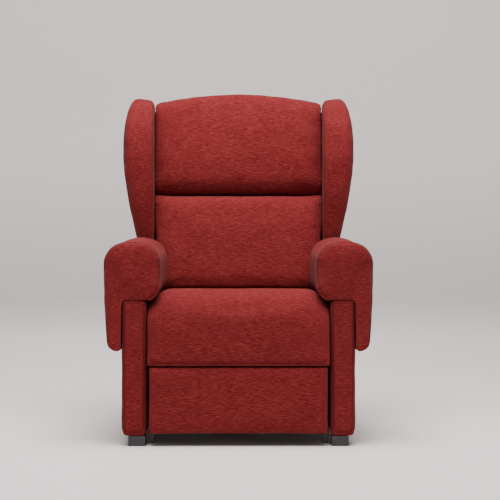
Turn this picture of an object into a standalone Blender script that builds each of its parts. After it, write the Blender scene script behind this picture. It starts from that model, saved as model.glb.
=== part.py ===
"""Patient recliner chair: upholstered arms and wing back on a two-actuator steel frame.

Metres, +Z up. The chair faces -Y, and its origin is on the floor under the middle of its box.
Left and right are as seen by someone standing in front of it, so right is +X.
The backrest is drawn in the frame of its own pivot, which is leant back at rest.
"""

import math

import bmesh
import bpy
from mathutils import Matrix, Vector

GAP = 0.0003
RUNNING_GAP = 0.0003
SIDES = {"left": -1, "right": 1}

# Whole chair
FRONT_Y = -0.415
ARM_HALF_WIDTH = 0.390
ARM_TOP = 0.595
ARM_UNDERSIDE = 0.425
SEAT_HALF_WIDTH = 0.2615

# Side panels, arm pads, feet
PANEL_INNER_X = 0.266
PANEL_OUTER_X = 0.340
PANEL_FRONT_Y = -0.400
PANEL_REAR_Y = 0.268
PANEL_BOTTOM = 0.030
ARM_INNER_X = 0.222
ARM_FRONT_Y = -0.405
ARM_REAR_Y = 0.094
SKIRT_BOTTOM = 0.277
SKIRT_BOTTOM_X = 0.379
FOOT_SIZE = 0.050
FOOT_X = 0.295
FOOT_FRONT_Y = -0.373
FOOT_REAR_Y = 0.230
GLIDE_X = 0.2565
GLIDE_Y = -0.318
GLIDE_WIDTH = 0.016
GLIDE_DEPTH = 0.024

# Steel base
TUBE = 0.025
WALL = 0.002
RAIL_BOTTOM = 0.036
RAIL_INNER_X = 0.2410
RAIL_FRONT_Y = -0.335
RAIL_REAR_Y = 0.225
PLATE_INNER_X = 0.2355
PLATE_THICKNESS = 0.005
PLATE_BOTTOM = 0.040
SEAT_RAIL_BOTTOM = 0.282
SEAT_RAIL_HALF = 0.2350
SEAT_RAIL_Y = {"front": -0.345, "middle": -0.215, "rear": 0.115}
CROSS_TUBE_Y = {"front": -0.270, "rear": 0.170}
LIGHTENING_RADIUS = 0.040
BOLT_PLACES = {"front": (-0.270, 0.262), "rear": (0.060, 0.262)}
BOLT_RADIUS = 0.004
BOLT_END_X = 0.290

# Seat
APRON_REAR_Y = -0.354
SEAT_CUSHION_REAR_Y = 0.096
SEAT_UNDERSIDE = 0.326
SEAT_REAR_TOP = 0.428
SEAT_CREST = 0.452
SEAT_CREST_Y = -0.330
SEAT_FRONT_ROLL = 0.072
APRON_BOTTOM = 0.234
SEAT_SHOULDERS = ((0.2615, 0.414), (0.236, 0.4215), (0.212, 0.437), (0.194, SEAT_CREST))
SPRING_X = (-0.170, -0.057, 0.057, 0.170)
SPRING_Z = 0.3165
SPRING_WIRE = 0.0019
SPRING_WAVE = 0.019
SPRING_LOOPS = 9

# Backrest, in the frame of its pivot
BACK_PIVOT = Vector((0.0, 0.205, 0.330))
BACK_LEAN = math.radians(12)
BACK_FRONT = -0.123
BACK_FRAME_FRONT = -0.010
CUSHION_REAR = -0.0115
LUMBAR_BOTTOM = 0.076
LUMBAR_TOP = 0.3885
LUMBAR_FOOT_HALF_WIDTH = 0.246
HEAD_BOTTOM = 0.3925
HEAD_SHOULDER = 0.690
HEAD_CROWN = 0.7265
HEAD_HALF_WIDTH = 0.268
COVER_FRONT = 0.0155
COVER_REAR = 0.068
COVER_BOTTOM = 0.020
COVER_SHOULDER = 0.668
COVER_CROWN = 0.700
COVER_HALF_WIDTH = 0.2690
COVER_LIP_FRONT = -0.0095
COVER_LIP_BOTTOM = 0.6615
COVER_LIP_HALF_WIDTH = 0.2550
UPRIGHT_INNER_X = 0.2045
UPRIGHT_BOTTOM = -0.060
UPRIGHT_TOP = 0.660
BACK_RAIL_BOTTOMS = {"top": 0.600, "middle": 0.380, "bottom": -0.056}
BRACKET_INNER_X = 0.2295
PIVOT_PIN_RADIUS = 0.006
WING_INNER_X = 0.2700
WING_OUTLINE = (
    ((0.038, 0.042), 0.016),
    ((-0.119, 0.084), 0.020),
    ((-0.160, 0.262), 0.080),
    ((-0.228, 0.430), 0.080),
    ((-0.232, 0.600), 0.080),
    ((-0.165, 0.692), 0.060),
    ((0.038, 0.692), 0.030),
)
WING_OUTER_X = ((0.042, 0.314), (0.250, 0.328), (0.400, 0.352), (0.550, 0.366), (0.692, 0.350))

# Leg-rest linkage: hinge points as (y, z), and the whole turn of each bar in degrees
HINGE_TOP = (-0.315, 0.190)
HINGE_KNEE = (-0.325, 0.055)
HINGE_PANEL = (-0.362, 0.200)
LOWER_LINK_X = 0.200
LINK_THICKNESS = 0.005
LINK_SPACE = 0.0005
LINK_HALF_WIDTH = 0.010
LINK_PIN_RADIUS = 0.005
TORQUE_RADIUS = 0.010
TORQUE_HALF = 0.2440
LEG_PANEL_HALF_WIDTH = 0.2585
LEG_PANEL_FRONT_Y = -0.412
LEG_PANEL_REAR_Y = -0.377
LEG_PANEL_BOTTOM = 0.038
LEG_PANEL_TOP = 0.2285

# Actuators
LEG_ROD_X = -0.062
LEG_CRANK = 0.045
LEG_TURN = math.radians(85)
BACK_ROD_X = 0.062
BACK_CRANK = 0.100
BACK_TURN = math.radians(40)
ROD_RADIUS = 0.008
SLEEVE_RADIUS = 0.016
EYE_RADIUS = 0.014
EYE_HOLE = 0.005
EYE_HALF = 0.006
LUG_THICKNESS = 0.006
LUG_OFFSET = 0.0085
MOTOR_RADIUS = 0.024
MOTOR_LENGTH = 0.075

# Rear lower cover and electrics
VALANCE_FRONT_Y = 0.256
VALANCE_BOTTOM = 0.070
VALANCE_TOP = 0.270
CONTROL_BOX = ((-0.205, 0.195, 0.082), (-0.095, 0.2555, 0.124))
INLET_X = 0.125
INLET_Z = 0.135

SOFT_BEVEL = 0.016
ROUND_SEGMENTS = 20


def clear_scene():
    """Removes every object of the startup scene."""
    for obj in list(bpy.data.objects):
        bpy.data.objects.remove(obj, do_unlink=True)


def make_material(name, colour, roughness, metallic=0.0):
    """A Principled BSDF material of one colour."""
    material = bpy.data.materials.new(name)
    material.use_nodes = True
    shader = material.node_tree.nodes["Principled BSDF"]
    shader.inputs["Base Color"].default_value = (*colour, 1.0)
    shader.inputs["Roughness"].default_value = roughness
    shader.inputs["Metallic"].default_value = metallic
    material.diffuse_color = (*colour, 1.0)
    return material


def make_empty(name, location, lean=0.0):
    """An empty on a joint's axis, leant back by the given angle."""
    empty = bpy.data.objects.new(name, None)
    empty.location = location
    empty.rotation_euler = (-lean, 0.0, 0.0)
    bpy.context.scene.collection.objects.link(empty)
    return empty


def add_object(name, mesh, material, parent=None, location=(0.0, 0.0, 0.0)):
    """Links a mesh as an object, under its joint's empty where it has one."""
    mesh.materials.append(material)
    obj = bpy.data.objects.new(name, mesh)
    obj.location = location
    obj.parent = parent
    bpy.context.scene.collection.objects.link(obj)
    return obj


def finish_mesh(name, shape):
    """Turns a bmesh into a mesh whose faces point outwards."""
    bmesh.ops.recalc_face_normals(shape, faces=shape.faces)
    mesh = bpy.data.meshes.new(name)
    shape.to_mesh(mesh)
    shape.free()
    return mesh


def shade_round(obj):
    """Smooth shading that keeps edges over 35 degrees sharp."""
    obj.data.shade_smooth()
    obj.data.set_sharp_from_angle(angle=math.radians(35))


def bevel(obj, width, segments=2):
    """Rounds the edges that turn more than 35 degrees."""
    modifier = obj.modifiers.new("rounding", "BEVEL")
    modifier.width = width
    modifier.segments = segments
    modifier.limit_method = "ANGLE"
    modifier.angle_limit = math.radians(35)


def bevel_rims(obj, width, segments=2):
    """Rounds only the two end rims of a prism."""
    modifier = obj.modifiers.new("rim_rounding", "BEVEL")
    modifier.width = width
    modifier.segments = segments
    modifier.limit_method = "WEIGHT"


def make_helper(obj):
    """Marks a solid that only shapes another one."""
    obj.hide_render = True
    obj.display_type = "WIRE"


def combine(target, helper, operation):
    """Cuts a helper solid from the target, or welds it on."""
    make_helper(helper)
    modifier = target.modifiers.new(helper.name, "BOOLEAN")
    modifier.operation = operation
    modifier.solver = "EXACT"
    modifier.object = helper


def block(name, low, high, material, parent=None):
    """A box between two corners, with its origin at its middle."""
    low = Vector(low)
    high = Vector(high)
    shape = bmesh.new()
    bmesh.ops.create_cube(shape, size=1.0)
    bmesh.ops.scale(shape, vec=high - low, verts=shape.verts)
    return add_object(name, finish_mesh(name, shape), material, parent, (low + high) / 2)


def rounded_outline(corners, segments=5):
    """Points of a closed outline whose corners are (place, radius), each turned into an arc."""
    points = []
    count = len(corners)
    for index, (place, radius) in enumerate(corners):
        here = Vector(place)
        to_last = (Vector(corners[index - 1][0]) - here).normalized()
        to_next = (Vector(corners[(index + 1) % count][0]) - here).normalized()
        half_angle = to_last.angle(to_next) / 2
        if radius == 0.0:
            points.append(here)
            continue
        centre = here + (to_last + to_next).normalized() * radius / math.sin(half_angle)
        reach = radius / math.tan(half_angle)
        start = here + to_last * reach - centre
        turn = start.angle_signed(here + to_next * reach - centre)
        for step in range(segments + 1):
            spin = Matrix.Rotation(-turn * step / segments, 2)
            points.append(centre + spin @ start)
    return points


def prism(name, outline, axis, low, high, material, parent=None):
    """An outline drawn across an axis and extruded along it: (y, z) for X, (x, z) for Y, (x, y) for Z."""
    shape = bmesh.new()
    rim_weight = shape.edges.layers.float.new("bevel_weight_edge")
    ends = []
    for level in (low, high):
        ring = []
        for first, second in outline:
            place = {"X": (level, first, second), "Y": (first, level, second), "Z": (first, second, level)}
            ring.append(shape.verts.new(place[axis]))
        ends.append(ring)
    for ring in ends:
        for edge in shape.faces.new(ring).edges:
            edge[rim_weight] = 1.0
    for index in range(len(outline)):
        after = (index + 1) % len(outline)
        shape.faces.new((ends[0][index], ends[0][after], ends[1][after], ends[1][index]))
    return add_object(name, finish_mesh(name, shape), material, parent)


def side_prism(name, outline, side, near, far, material, parent=None):
    """A (y, z) outline extruded between two distances from the middle, on one side of the chair."""
    return prism(name, outline, "X", side * near, side * far, material, parent)


def cylinder(name, centre, axis, radius, length, material, parent=None, segments=ROUND_SEGMENTS):
    """A cylinder along X, Y or Z about its centre."""
    shape = bmesh.new()
    bmesh.ops.create_cone(
        shape, cap_ends=True, segments=segments, radius1=radius, radius2=radius, depth=length
    )
    direction = {"X": (1, 0, 0), "Y": (0, 1, 0), "Z": (0, 0, 1)}[axis]
    turn = Vector((0, 0, 1)).rotation_difference(Vector(direction)).to_matrix()
    bmesh.ops.rotate(shape, cent=(0, 0, 0), matrix=turn, verts=shape.verts)
    obj = add_object(name, finish_mesh(name, shape), material, parent, centre)
    shade_round(obj)
    return obj


def box_tube(name, low, high, axis, material, parent=None):
    """A square steel tube, open at both ends."""
    tube = block(name, low, high, material, parent)
    inset = [WALL, WALL, WALL]
    inset["XYZ".index(axis)] = -WALL
    inner_low = Vector(low) + Vector(inset)
    inner_high = Vector(high) - Vector(inset)
    combine(tube, block(name + "_bore", inner_low, inner_high, material, parent), "DIFFERENCE")
    return tube


def bar_outline(start, end, half_width, steps=6):
    """A flat bar with round ends between two (y, z) points."""
    start = Vector(start)
    end = Vector(end)
    along = (end - start).normalized()
    across = Vector((-along.y, along.x))
    points = []
    for centre, outward in ((start, -along), (end, along)):
        first = across if outward == -along else -across
        for step in range(steps + 1):
            angle = math.pi * step / steps
            points.append(centre + half_width * (first * math.cos(angle) + outward * math.sin(angle)))
    return points


def drill_x(target, y, z, x, radius, length, material, parent=None):
    """Drills a round hole along X through a target."""
    name = f"{target.name}_drill_{len(target.modifiers)}"
    combine(target, cylinder(name, (x, y, z), "X", radius, length, material, parent), "DIFFERENCE")


# ---------------------------------------------------------------- arms, feet and covers


def side_panel(name, side, fabric):
    """Upholstered side of the chair, with its rear top corner cut back for the reclining wing."""
    outline = rounded_outline(
        (
            ((PANEL_FRONT_Y, PANEL_BOTTOM), 0.010),
            ((PANEL_REAR_Y, PANEL_BOTTOM), 0.010),
            ((PANEL_REAR_Y, 0.270), 0.030),
            ((0.234, 0.342), 0.030),
            ((0.098, ARM_UNDERSIDE - GAP), 0.010),
            ((PANEL_FRONT_Y, ARM_UNDERSIDE - GAP), 0.0),
        ),
        segments=4,
    )
    panel = side_prism(name, outline, side, PANEL_INNER_X, PANEL_OUTER_X, fabric)
    bevel(panel, 0.008)
    middle = (BOLT_END_X + PANEL_INNER_X) / 2 - 0.010
    for y, z in BOLT_PLACES.values():
        drill_x(panel, y, z, side * middle, BOLT_RADIUS + GAP, 0.050, fabric)


def arm_pad(name, side, fabric):
    """Hooked arm pad: a thick top that overhangs the seat, and a skirt down the outside."""
    skirt_inner = PANEL_OUTER_X + GAP
    corners = (
        ((ARM_INNER_X, ARM_UNDERSIDE), 0.042),
        ((skirt_inner, ARM_UNDERSIDE), 0.0),
        ((skirt_inner, SKIRT_BOTTOM), 0.006),
        ((SKIRT_BOTTOM_X, SKIRT_BOTTOM), 0.032),
        ((ARM_HALF_WIDTH, 0.420), 0.060),
        ((ARM_HALF_WIDTH, ARM_TOP), 0.068),
        ((ARM_INNER_X, ARM_TOP), 0.058),
    )
    outline = [(side * x, z) for x, z in rounded_outline(corners)]
    pad = prism(name, outline, "Y", ARM_FRONT_Y, ARM_REAR_Y, fabric)
    bevel_rims(pad, 0.010)


def foot(name, x, y, plastic):
    """Block foot under a side panel."""
    half = FOOT_SIZE / 2
    obj = block(name, (x - half, y - half, 0.0), (x + half, y + half, PANEL_BOTTOM - GAP), plastic)
    bevel(obj, 0.003)


def glide(name, side, plastic):
    """Levelling glide under the front of a base rail."""
    inner = GLIDE_X - GLIDE_WIDTH / 2
    outer = GLIDE_X + GLIDE_WIDTH / 2
    low = (min(side * inner, side * outer), GLIDE_Y - GLIDE_DEPTH / 2, 0.0)
    high = (max(side * inner, side * outer), GLIDE_Y + GLIDE_DEPTH / 2, RAIL_BOTTOM - GAP)
    bevel(block(name, low, high, plastic), 0.002)


def build_arms_and_feet(fabric, foot_plastic, glide_plastic):
    """Both side panels with their arm pads, feet and glides."""
    for word, side in SIDES.items():
        side_panel(f"side_panel_{word}", side, fabric)
        arm_pad(f"arm_pad_{word}", side, fabric)
        foot(f"foot_front_{word}", side * FOOT_X, FOOT_FRONT_Y, foot_plastic)
        foot(f"foot_rear_{word}", side * FOOT_X, FOOT_REAR_Y, foot_plastic)
        glide(f"glide_{word}", side, glide_plastic)


def build_rear_cover_and_electrics(fabric, plastic):
    """Low rear cover between the side panels, the control box and the power inlet."""
    half = PANEL_INNER_X - 0.003
    low = (-half, VALANCE_FRONT_Y, VALANCE_BOTTOM)
    high = (half, PANEL_REAR_Y, VALANCE_TOP)
    bevel(block("rear_valance", low, high, fabric), 0.003)
    bevel(block("control_box", *CONTROL_BOX, plastic), 0.004)
    inlet_low = (INLET_X - 0.026, PANEL_REAR_Y + GAP, INLET_Z - 0.018)
    inlet_high = (INLET_X + 0.026, PANEL_REAR_Y + 0.010, INLET_Z + 0.018)
    inlet = block("power_inlet", inlet_low, inlet_high, plastic)
    recess_low = (INLET_X - 0.014, PANEL_REAR_Y + 0.003, INLET_Z - 0.010)
    recess_high = (INLET_X + 0.014, PANEL_REAR_Y + 0.020, INLET_Z + 0.010)
    combine(inlet, block("power_inlet_recess", recess_low, recess_high, plastic), "DIFFERENCE")


# ---------------------------------------------------------------- steel base


def base_rail(name, side, steel):
    """Floor-level tube that carries a mechanism plate."""
    inner = side * RAIL_INNER_X
    outer = side * (RAIL_INNER_X + 0.024)
    low = (min(inner, outer), RAIL_FRONT_Y, RAIL_BOTTOM)
    high = (max(inner, outer), RAIL_REAR_Y, RAIL_BOTTOM + TUBE)
    box_tube(name, low, high, "Y", steel)


def mechanism_plate(name, side, steel):
    """Pressed side plate that holds the leg-rest shaft, the seat rails and the back pivot."""
    outline = rounded_outline(
        (
            ((RAIL_FRONT_Y, PLATE_BOTTOM), 0.006),
            ((RAIL_REAR_Y, PLATE_BOTTOM), 0.006),
            ((RAIL_REAR_Y, 0.290), 0.020),
            ((0.2225, 0.3475), 0.015),
            ((0.1875, 0.3475), 0.015),
            ((0.150, 0.318), 0.020),
            ((-0.350, 0.318), 0.012),
            ((-0.350, 0.150), 0.030),
        ),
        segments=4,
    )
    outer = PLATE_INNER_X + PLATE_THICKNESS
    plate = side_prism(name, outline, side, PLATE_INNER_X, outer, steel)
    middle = side * (PLATE_INNER_X + outer) / 2
    drill_x(plate, *HINGE_TOP, middle, TORQUE_RADIUS + RUNNING_GAP, 0.020, steel)
    drill_x(plate, BACK_PIVOT.y, BACK_PIVOT.z, middle, PIVOT_PIN_RADIUS + GAP, 0.020, steel)
    for y, z in BOLT_PLACES.values():
        drill_x(plate, y, z, middle, BOLT_RADIUS + GAP, 0.020, steel)
    for y in (-0.150, -0.010, 0.130):
        drill_x(plate, y, 0.160, middle, LIGHTENING_RADIUS, 0.020, steel)


def bolt(name, side, place, steel):
    """Bolt that holds a side panel to its mechanism plate."""
    y, z = place
    head = PLATE_INNER_X - GAP
    middle = (head + BOLT_END_X) / 2
    length = BOLT_END_X - head
    shank = cylinder(name, (side * middle, y, z), "X", BOLT_RADIUS, length, steel, segments=12)
    head_centre = (side * (head - 0.0025), y, z)
    combine(shank, cylinder(name + "_head", head_centre, "X", 0.0075, 0.005, steel, segments=6), "UNION")


def back_pivot_pin(name, side, steel):
    """Headed pin on which the backrest turns."""
    head = PLATE_INNER_X + PLATE_THICKNESS + GAP
    inner = BRACKET_INNER_X - 0.002
    centre = (side * (head + inner) / 2, BACK_PIVOT.y, BACK_PIVOT.z)
    pin = cylinder(name, centre, "X", PIVOT_PIN_RADIUS, head - inner + 0.002, steel)
    head_centre = (side * (head + 0.002), BACK_PIVOT.y, BACK_PIVOT.z)
    combine(pin, cylinder(name + "_head", head_centre, "X", 0.010, 0.004, steel), "UNION")


def seat_rail(place, steel):
    """Cross tube under the seat springs."""
    y = SEAT_RAIL_Y[place]
    low = (-SEAT_RAIL_HALF, y, SEAT_RAIL_BOTTOM)
    high = (SEAT_RAIL_HALF, y + TUBE, SEAT_RAIL_BOTTOM + TUBE)
    return box_tube(f"seat_rail_{place}", low, high, "X", steel)


def hanging_lug(rail, x, bottom, steel):
    """Weld-on lug under a seat rail, beside the fixed end of an actuator."""
    y = SEAT_RAIL_Y[rail.name.rsplit("_", 1)[1]]
    low = (x, y + 0.0005, bottom)
    high = (x + LUG_THICKNESS, y + TUBE - 0.0005, SEAT_RAIL_BOTTOM + WALL / 2)
    combine(rail, block(rail.name + "_lug", low, high, steel), "UNION")


def build_base(steel, bright_steel):
    """Floor rails, cross tubes, mechanism plates, seat rails, pins and bolts."""
    for word, side in SIDES.items():
        base_rail(f"base_rail_{word}", side, steel)
        mechanism_plate(f"mechanism_plate_{word}", side, steel)
        back_pivot_pin(f"back_pivot_pin_{word}", side, bright_steel)
        for end, place in BOLT_PLACES.items():
            bolt(f"arm_bolt_{end}_{word}", side, place, bright_steel)
    for word, y in CROSS_TUBE_Y.items():
        low = (-SEAT_RAIL_HALF, y, RAIL_BOTTOM)
        high = (SEAT_RAIL_HALF, y + TUBE, RAIL_BOTTOM + TUBE)
        box_tube(f"base_cross_tube_{word}", low, high, "X", steel)
    seat_rail("front", steel)
    middle = seat_rail("middle", steel)
    rear = seat_rail("rear", steel)
    hanging_lug(middle, BACK_ROD_X + LUG_OFFSET, back_rod_height() - EYE_RADIUS, steel)
    hanging_lug(rear, LEG_ROD_X + LUG_OFFSET, leg_rod_height() - EYE_RADIUS, steel)


# ---------------------------------------------------------------- seat


def seat_spring(name, x, steel):
    """Zigzag spring wire from the front seat rail to the rear one."""
    start = SEAT_RAIL_Y["front"] + TUBE / 2
    end = SEAT_RAIL_Y["rear"] + TUBE / 2
    steps = SPRING_LOOPS * 8
    curve = bpy.data.curves.new(name, "CURVE")
    curve.dimensions = "3D"
    curve.bevel_depth = SPRING_WIRE
    curve.bevel_resolution = 1
    curve.use_fill_caps = True
    spline = curve.splines.new("POLY")
    spline.points.add(steps)
    for step in range(steps + 1):
        share = step / steps
        sideways = SPRING_WAVE * math.sin(2 * math.pi * SPRING_LOOPS * share)
        rise = 0.004 * math.sin(math.pi * share)
        place = (x + sideways, start + (end - start) * share, SPRING_Z - 0.0045 + rise)
        spline.points[step].co = (*place, 1.0)
    obj = bpy.data.objects.new(name, curve)
    curve.materials.append(steel)
    bpy.context.scene.collection.objects.link(obj)


def round_shoulders(target, fabric):
    """Lowers a seat piece's long edges, so that it tucks under the arm pads."""
    outline = [(-x, z) for x, z in SEAT_SHOULDERS]
    outline.extend(reversed(SEAT_SHOULDERS))
    outline.extend(((SEAT_HALF_WIDTH, APRON_BOTTOM - 0.010), (-SEAT_HALF_WIDTH, APRON_BOTTOM - 0.010)))
    limits = prism(target.name + "_limits", outline, "Y", -0.5, 0.5, fabric)
    combine(target, limits, "INTERSECT")


def build_seat(fabric, spring_steel):
    """Springs, the seat cushion with its rolled front edge, and the apron below it."""
    for number, x in enumerate(SPRING_X, start=1):
        seat_spring(f"seat_spring_{number}", x, spring_steel)
    cushion_outline = rounded_outline(
        (
            ((FRONT_Y, SEAT_UNDERSIDE), 0.004),
            ((SEAT_CUSHION_REAR_Y, SEAT_UNDERSIDE), 0.012),
            ((SEAT_CUSHION_REAR_Y, SEAT_REAR_TOP), 0.020),
            ((SEAT_CREST_Y, SEAT_CREST), 0.200),
            ((FRONT_Y, SEAT_CREST - 0.001), SEAT_FRONT_ROLL),
        ),
    )
    reach = (-SEAT_HALF_WIDTH, SEAT_HALF_WIDTH)
    cushion = prism("seat_cushion", cushion_outline, "X", *reach, fabric)
    round_shoulders(cushion, fabric)
    bevel(cushion, 0.004)
    apron_low = (-SEAT_HALF_WIDTH, FRONT_Y, APRON_BOTTOM)
    apron_high = (SEAT_HALF_WIDTH, APRON_REAR_Y, SEAT_UNDERSIDE - GAP)
    bevel(block("seat_apron", apron_low, apron_high, fabric), 0.004)


# ---------------------------------------------------------------- backrest


def crowned_outline(half_width, bottom, shoulder, crown, steps=10):
    """An (x, z) outline whose top edge rises in a shallow curve to its middle."""
    points = [(-half_width, bottom), (half_width, bottom)]
    for step in range(steps + 1):
        share = 1 - 2 * step / steps
        points.append((half_width * share, shoulder + (crown - shoulder) * (1 - share * share)))
    return points


def wing_outer_x(height):
    """How far the wing bulges out at a height, between the listed stations."""
    stations = WING_OUTER_X
    for (low, x_low), (high, x_high) in zip(stations, stations[1:]):
        if height <= high:
            share = max(0.0, (height - low) / (high - low))
            smooth = share * share * (3 - 2 * share)
            return x_low + (x_high - x_low) * smooth
    return stations[-1][1]


def wing(name, side, fabric, parent):
    """Padded wing beside the head, its outer face swelling at head height."""
    outline = rounded_outline(WING_OUTLINE, segments=4)
    obj = side_prism(name, outline, side, WING_INNER_X, WING_INNER_X + 0.05, fabric, parent)
    for vertex in obj.data.vertices:
        if abs(vertex.co.x) > WING_INNER_X + 0.01:
            vertex.co.x = side * wing_outer_x(vertex.co.z)
    bevel(obj, SOFT_BEVEL)


def back_bracket(name, side, steel, parent):
    """Flat bracket that joins a back upright to its pivot pin."""
    outline = bar_outline((0.0, 0.0), (0.002, 0.150), 0.0115)
    outer = BRACKET_INNER_X + PLATE_THICKNESS
    obj = side_prism(name, outline, side, BRACKET_INNER_X, outer, steel, parent)
    middle = side * (BRACKET_INNER_X + outer) / 2
    drill_x(obj, 0.0, 0.0, middle, PIVOT_PIN_RADIUS + RUNNING_GAP, 0.020, steel, parent)


def back_upright(name, side, steel, parent):
    """Square tube up one side of the back, cut short of the pivot pin's end."""
    inner = side * UPRIGHT_INNER_X
    outer = side * (BRACKET_INNER_X - 0.0005)
    low = (min(inner, outer), BACK_FRAME_FRONT, UPRIGHT_BOTTOM)
    high = (max(inner, outer), BACK_FRAME_FRONT + TUBE, UPRIGHT_TOP)
    tube = box_tube(name, low, high, "Z", steel, parent)
    drill_x(tube, 0.0, 0.0, outer, PIVOT_PIN_RADIUS + 0.002, 0.030, steel, parent)


def back_rail(place, steel, parent):
    """Cross tube of the back frame. The upper ones pass in front of nothing and reach the wings."""
    bottom = BACK_RAIL_BOTTOMS[place]
    half = UPRIGHT_INNER_X - 0.0005
    low = (-half, BACK_FRAME_FRONT + 0.0005, bottom)
    high = (half, BACK_FRAME_FRONT + TUBE - 0.0005, bottom + TUBE)
    return box_tube(f"back_rail_{place}", low, high, "X", steel, parent)


def crank_lug(rail, steel, parent):
    """Lug welded under the bottom back rail, beside the back actuator's rod eye."""
    swing = BACK_TURN / 2 + BACK_LEAN
    eye = (BACK_CRANK * math.sin(swing), -BACK_CRANK * math.cos(swing))
    root = (0.004, BACK_RAIL_BOTTOMS["bottom"] + 0.010)
    near = BACK_ROD_X + LUG_OFFSET
    lug = prism(
        "back_crank_lug", bar_outline(root, eye, 0.011), "X", near, near + LUG_THICKNESS, steel, parent
    )
    combine(rail, lug, "UNION")
    drill_x(rail, *eye, near + LUG_THICKNESS / 2, EYE_HOLE, 0.020, steel, parent)


def add_cover_lip(cover, fabric, pivot):
    """Carries the top of the rear cover forward over the frame, to the head cushion."""
    shoulder = COVER_SHOULDER + 0.001
    outline = crowned_outline(COVER_LIP_HALF_WIDTH, COVER_LIP_BOTTOM, shoulder, COVER_CROWN - 0.006)
    rear = COVER_FRONT + 0.020
    lip = prism("rear_cover_lip", outline, "Y", COVER_LIP_FRONT, rear, fabric, pivot)
    combine(cover, lip, "UNION")


def build_backrest(fabric, steel):
    """Cushions, wings and rear cover on their tube frame, about the back pivot."""
    pivot = make_empty("backrest_pivot", BACK_PIVOT, BACK_LEAN)
    head_outline = crowned_outline(HEAD_HALF_WIDTH, HEAD_BOTTOM, HEAD_SHOULDER, HEAD_CROWN)
    head = prism("head_cushion", head_outline, "Y", BACK_FRONT, CUSHION_REAR, fabric, pivot)
    bevel(head, 0.020)
    lumbar_outline = (
        (-LUMBAR_FOOT_HALF_WIDTH, LUMBAR_BOTTOM),
        (LUMBAR_FOOT_HALF_WIDTH, LUMBAR_BOTTOM),
        (SEAT_HALF_WIDTH, LUMBAR_TOP),
        (-SEAT_HALF_WIDTH, LUMBAR_TOP),
    )
    lumbar = prism("lumbar_cushion", lumbar_outline, "Y", BACK_FRONT, CUSHION_REAR, fabric, pivot)
    bevel(lumbar, 0.020)
    cover_outline = crowned_outline(COVER_HALF_WIDTH, COVER_BOTTOM, COVER_SHOULDER, COVER_CROWN)
    cover = prism("rear_cover", cover_outline, "Y", COVER_FRONT, COVER_REAR, fabric, pivot)
    bevel(cover, 0.012)
    add_cover_lip(cover, fabric, pivot)
    for word, side in SIDES.items():
        wing(f"wing_{word}", side, fabric, pivot)
        back_upright(f"back_upright_{word}", side, steel, pivot)
        back_bracket(f"back_bracket_{word}", side, steel, pivot)
    back_rail("top", steel, pivot)
    back_rail("middle", steel, pivot)
    crank_lug(back_rail("bottom", steel, pivot), steel, pivot)


# ---------------------------------------------------------------- leg rest


def from_hinge(point, hinge):
    """A (y, z) point measured from a hinge."""
    return (point[0] - hinge[0], point[1] - hinge[1])


def hinge_empty(name, hinge):
    """An empty on one axis of the leg-rest linkage."""
    return make_empty(name, (0.0, *hinge))


def rivet(link, side, place, near, far, steel, parent):
    """Welds a shoulder pin to a link, from its face through its neighbour."""
    centre = (side * (near + far) / 2, *place)
    helper = cylinder(link.name + "_pin", centre, "X", LINK_PIN_RADIUS, far - near, steel, parent)
    combine(link, helper, "UNION")


def build_lower_links(steel):
    """The torque shaft with its crank lug, and the two links that hang from it."""
    pivot = hinge_empty("leg_shaft_pivot", HINGE_TOP)
    shaft = cylinder("torque_shaft", (0, 0, 0), "X", TORQUE_RADIUS, 2 * TORQUE_HALF, steel, pivot)
    swing = LEG_TURN / 2
    eye = (LEG_CRANK * math.sin(swing), -LEG_CRANK * math.cos(swing))
    near = LEG_ROD_X + LUG_OFFSET
    lug = prism("leg_crank_lug", bar_outline((0, 0), eye, 0.012), "X", near, near + LUG_THICKNESS, steel, pivot)
    combine(shaft, lug, "UNION")
    drill_x(shaft, *eye, near + LUG_THICKNESS / 2, EYE_HOLE, 0.020, steel, pivot)
    knee = from_hinge(HINGE_KNEE, HINGE_TOP)
    far = LOWER_LINK_X + LINK_THICKNESS
    for word, side in SIDES.items():
        outline = bar_outline((0, 0), knee, LINK_HALF_WIDTH + 0.003)
        link = side_prism(f"lower_link_{word}", outline, side, LOWER_LINK_X, far, steel, pivot)
        middle = side * (LOWER_LINK_X + far) / 2
        rivet(link, side, knee, far - 0.002, far + LINK_SPACE + LINK_THICKNESS, steel, pivot)
        drill_x(link, 0, 0, middle, TORQUE_RADIUS + GAP, 0.020, steel, pivot)


def build_upper_links(steel):
    """The two links between the knee and the leg-rest panel."""
    pivot = hinge_empty("leg_knee_pivot", HINGE_KNEE)
    near = LOWER_LINK_X + LINK_THICKNESS + LINK_SPACE
    far = near + LINK_THICKNESS
    top = from_hinge(HINGE_PANEL, HINGE_KNEE)
    for word, side in SIDES.items():
        outline = bar_outline((0, 0), top, LINK_HALF_WIDTH)
        link = side_prism(f"upper_link_{word}", outline, side, near, far, steel, pivot)
        middle = side * (near + far) / 2
        drill_x(link, 0, 0, middle, LINK_PIN_RADIUS + RUNNING_GAP, 0.020, steel, pivot)
        drill_x(link, *top, middle, LINK_PIN_RADIUS + RUNNING_GAP, 0.020, steel, pivot)


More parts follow.
